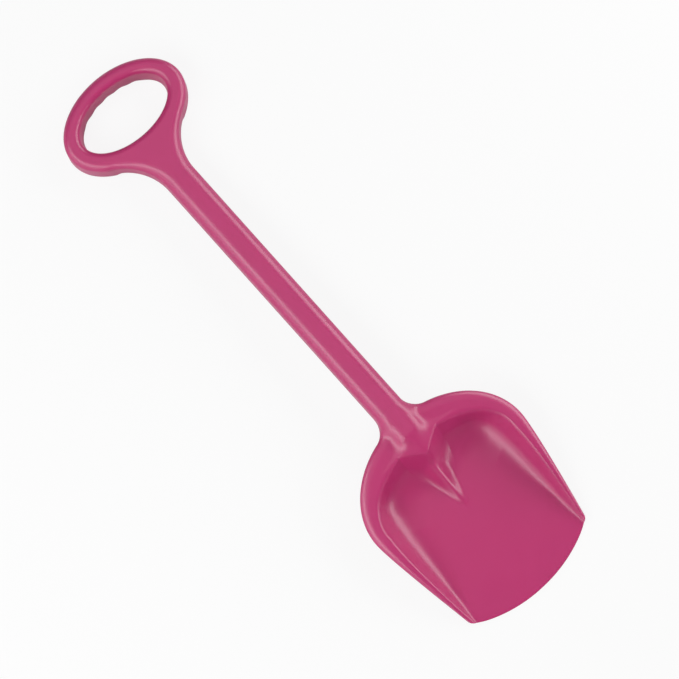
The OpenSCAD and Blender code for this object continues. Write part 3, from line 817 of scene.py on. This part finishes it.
def grow_ribs(name, tree, spots, plate, plastic):
    """One rib plate for each spot, joined into one mesh, laid down and its edges rounded."""
    grower = spots.modifiers.new("ribs", "NODES")
    grower.node_group = tree
    for item in tree.interface.items_tree:
        if item.name == "Rib plate":
            grower[item.identifier] = plate
        if item.name == "Plastic":
            grower[item.identifier] = plastic
    view = bpy.context.evaluated_depsgraph_get()
    me = bpy.data.meshes.new_from_object(spots.evaluated_get(view))
    me.name = name
    flat = lay_down(np.array([v.co[:] for v in me.vertices]))
    me.vertices.foreach_set("co", flat.ravel())
    for spare in (spots, plate):
        bpy.data.objects.remove(spare)
    bm = bmesh.new()
    bm.from_mesh(me)
    corners = [e for e in bm.edges if e.calc_face_angle(0) > rad(RIB_EDGE_ANGLE)]
    round_edges(me, bm, corners, RIB_EDGE_R)
    return add_object(name, me)


def shaft_rib_spots():
    n = math.floor(SHAFT_LEN / RIB_PITCH)
    first = (SHAFT_LEN - (n - 1) * RIB_PITCH) / 2
    places = [GRIP_END + first + k * RIB_PITCH for k in range(n)]
    return rib_spots("shaft_rib_spots", [(x, 0, 0, 1, 1) for x in places])


def grip_rib_spots():
    under, mid, nums = ring_grids()[1:]
    spots = []
    for i in list(range(NECK_LAST, RING_LAST, RIB_EVERY)) + [RING_LAST]:
        s = mid + int(np.argmin(np.abs(np.array(nums) - i)))
        a, b = under[s % len(under)][0], under[s % len(under)][-1]
        c, across = (a + b) / 2, b - a
        turn = math.atan2(across[1], across[0]) - math.pi / 2
        wide = math.hypot(across[0], across[1]) + 2 * RIB_SINK
        deep = -c[2] - RIB_SETBACK
        spots += [(c[0], c[1], turn, wide, deep)]
        if i < RING_LAST:
            spots += [(c[0], -c[1], -turn, wide, deep)]
    return rib_spots("grip_rib_spots", spots)


# Materials

def colour(hex_code):
    """sRGB hex to the linear colour that the shaders take."""
    parts = [int(hex_code[k:k + 2], 16) / 255 for k in (1, 3, 5)]
    return tuple(c / 12.92 if c <= 0.04045 else ((c + 0.055) / 1.055) ** 2.4 for c in parts) + (1.0,)


def moulded_polypropylene(name, deep, bright, rough_low, rough_high, peel):
    """Injection-moulded polypropylene: polished mould faces give a soft gloss with a faint orange peel."""
    mat = bpy.data.materials.new(name)
    t = empty_tree(mat)
    place = node(t, "ShaderNodeTexCoord").outputs["Object"]
    # Flow of the pigment: soft patches about 60 mm across
    flow = node(t, "ShaderNodeTexNoise", {"Scale": 16.0, "Detail": 2.0, "Distortion": 0.6}, {"Vector": place})
    tone = node(t, "ShaderNodeMix", {"data_type": "RGBA", 6: colour(deep), 7: colour(bright)},
                {0: flow.outputs[0]})
    # Gloss varies in smears about 20 mm long, with fine handling marks of 1 mm
    smear = node(t, "ShaderNodeTexNoise", {"Scale": 50.0, "Detail": 3.0}, {"Vector": place})
    marks = node(t, "ShaderNodeTexNoise", {"Scale": 900.0, "Detail": 2.0}, {"Vector": place})
    both = node(t, "ShaderNodeMix", {0: 0.3}, {2: smear.outputs[0], 3: marks.outputs[0]})
    gloss = node(t, "ShaderNodeMapRange",
                 {"From Min": 0.35, "From Max": 0.65, "To Min": rough_low, "To Max": rough_high},
                 {"Value": both.outputs[0]})
    # Orange peel of 2.5 mm over a slow waviness of 25 mm
    peel_tex = node(t, "ShaderNodeTexNoise", {"Scale": 400.0, "Detail": 1.0}, {"Vector": place})
    wave_tex = node(t, "ShaderNodeTexNoise", {"Scale": 40.0, "Detail": 1.0}, {"Vector": place})
    wave = node(t, "ShaderNodeBump", {"Strength": 1.0, "Distance": 0.00012}, {"Height": wave_tex.outputs[0]})
    fine = node(t, "ShaderNodeBump", {"Strength": 1.0, "Distance": peel},
                {"Height": peel_tex.outputs[0], "Normal": wave.outputs[0]})
    skin = node(t, "ShaderNodeBsdfPrincipled",
                {"IOR": 1.49, "Specular IOR Level": 0.65, "Subsurface Weight": 0.12,
                 "Subsurface Radius": (1.0, 0.35, 0.5), "Subsurface Scale": 0.0025},
                {"Base Color": tone.outputs[2], "Roughness": gloss.outputs[0], "Normal": fine.outputs[0]})
    node(t, "ShaderNodeOutputMaterial", {}, {"Surface": skin.outputs[0]})
    return mat


# The polished side that shows in use, and the duller side of the mould's core
GLOSS = moulded_polypropylene("glossy_moulded_polypropylene", "#AC2A64", "#B42F69", 0.28, 0.36, 0.000012)
SATIN = moulded_polypropylene("satin_core_side_polypropylene", "#A92B64", "#B23169", 0.42, 0.54, 0.00002)


# Pieces

def dress(piece, nodes, *mats):
    for mat in mats:
        piece.data.materials.append(mat)
    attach(piece, "root")
    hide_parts(*nodes)


dress(blade_mesh(), ["blade"], GLOSS)
dress(shaft_mesh(), ["shaft"], GLOSS)
dress(ring_mesh(), ["grip_ring"], GLOSS)
RIB_TREE = rib_tree()
dress(grow_ribs("shaft_cross_ribs", RIB_TREE, shaft_rib_spots(), shaft_rib_plate(), SATIN), ["shaft_ribs"])
dress(grow_ribs("grip_cross_ribs", RIB_TREE, grip_rib_spots(), grip_rib_plate(), SATIN), ["grip_ribs"])


# Studio: white floor, a soft box on each side of the shaft, a top and a low one, and the camera overhead

# Half the floor's size in metres, its glow in the picture, and the shares of floor and world in a gloss
FLOOR_HALF, FLOOR_GLOW, FLOOR_IN_GLOSS = 6.0, 0.88, 0.12
AIR_STRENGTH, WORLD_IN_GLOSS = 0.06, 0.3

# Soft boxes: name, place, aim, width and length in metres, and power in watts
SOFT_BOXES = [
    ("key_box", (0.35, 0.83, 0.40), (0.35, 0.0, 0.02), 0.55, 2.0, 12.8),
    ("fill_box", (0.0, -0.70, 0.70), (0.0, 0.0, 0.0), 0.46, 1.7, 9.6),
    ("top_box", (-0.35, 0.0, 1.65), (0.0, 0.0, 0.0), 2.0, 1.8, 6.0),
    ("low_box", (0.0, -1.0, 0.28), (0.0, 0.0, 0.0), 0.5, 1.7, 3.6),
]

# Camera, fitted to the outline in the photograph: place in metres, turn in degrees, lens in millimetres
CAMERA_PLACE = (-0.03942, -0.06524, 0.88804)
CAMERA_TURN = (0.8949, -5.6210, 48.1910)
LENS, SENSOR_W = 63.62, 36.0


def seen_ray(tree, gloss_share):
    """1 for a ray of the camera, gloss_share for one in a gloss or through glass, else 0."""
    ray = node(tree, "ShaderNodeLightPath")
    mirrored = node(tree, "ShaderNodeMath", {"operation": "MAXIMUM"},
                    {0: ray.outputs["Is Glossy Ray"], 1: ray.outputs["Is Transmission Ray"]})
    share = node(tree, "ShaderNodeMath", {"operation": "MULTIPLY", 1: gloss_share}, {0: mirrored.outputs[0]})
    return node(tree, "ShaderNodeMath", {"operation": "MAXIMUM"},
                {0: ray.outputs["Is Camera Ray"], 1: share.outputs[0]}).outputs[0]


def studio_floor():
    me = bpy.data.meshes.new("studio_floor")
    h = FLOOR_HALF
    me.from_pydata([(-h, -h, 0), (h, -h, 0), (h, h, 0), (-h, h, 0)], [], [(0, 1, 2, 3)])
    floor = add_object("studio_floor", me)
    mat = bpy.data.materials.new("white_paper_floor")
    t = empty_tree(mat)
    place = node(t, "ShaderNodeTexCoord").outputs["Object"]
    grain = node(t, "ShaderNodeTexNoise", {"Scale": 300.0}, {"Vector": place})
    tone = node(t, "ShaderNodeMix", {"data_type": "RGBA", 6: colour("#D2D2D2"), 7: colour("#D6D6D6")},
                {0: grain.outputs[0]})
    paper = node(t, "ShaderNodeBsdfDiffuse", {}, {"Color": tone.outputs[2]})
    glow = node(t, "ShaderNodeEmission", {"Color": (1, 1, 1, 1), "Strength": 1.0})
    seen = node(t, "ShaderNodeMath", {"operation": "MULTIPLY", 1: FLOOR_GLOW},
                {0: seen_ray(t, FLOOR_IN_GLOSS)})
    look = node(t, "ShaderNodeMixShader", {}, {0: seen.outputs[0], 1: paper.outputs[0], 2: glow.outputs[0]})
    node(t, "ShaderNodeOutputMaterial", {}, {"Surface": look.outputs[0]})
    me.materials.append(mat)


def soft_box(name, place, aim, width, length, watts):
    """A lamp whose face looks at its aim, with its length across."""
    data = bpy.data.lights.new(name, "AREA")
    data.shape = "RECTANGLE"
    data.size, data.size_y = width, length
    data.energy = watts
    lamp = add_object(name, data)
    lamp.location = place
    away = np.array(place) - np.array(aim)
    yaw = math.atan2(away[1], away[0])
    tilt = math.atan2(math.hypot(away[0], away[1]), away[2])
    lamp.rotation_euler = Euler((0, tilt, yaw), "XYZ")


studio_floor()
for box in SOFT_BOXES:
    soft_box(*box)

world = bpy.data.worlds.new("studio_air")
world_tree = empty_tree(world)
air = node(world_tree, "ShaderNodeBackground", {"Color": (1, 1, 1, 1), "Strength": AIR_STRENGTH})
backdrop = node(world_tree, "ShaderNodeBackground", {"Color": (1, 1, 1, 1), "Strength": 1.0})
sky = node(world_tree, "ShaderNodeMixShader", {},
           {0: seen_ray(world_tree, WORLD_IN_GLOSS), 1: air.outputs[0], 2: backdrop.outputs[0]})
node(world_tree, "ShaderNodeOutputWorld", {}, {"Surface": sky.outputs[0]})
bpy.context.scene.world = world

lens = bpy.data.cameras.new("camera")
lens.sensor_width = SENSOR_W
lens.lens = LENS
camera = add_object("camera", lens)
camera.location = CAMERA_PLACE
camera.rotation_euler = Euler([rad(a) for a in CAMERA_TURN], "XYZ")
bpy.context.scene.camera = camera
bpy.context.scene.view_settings.view_transform = "Standard"
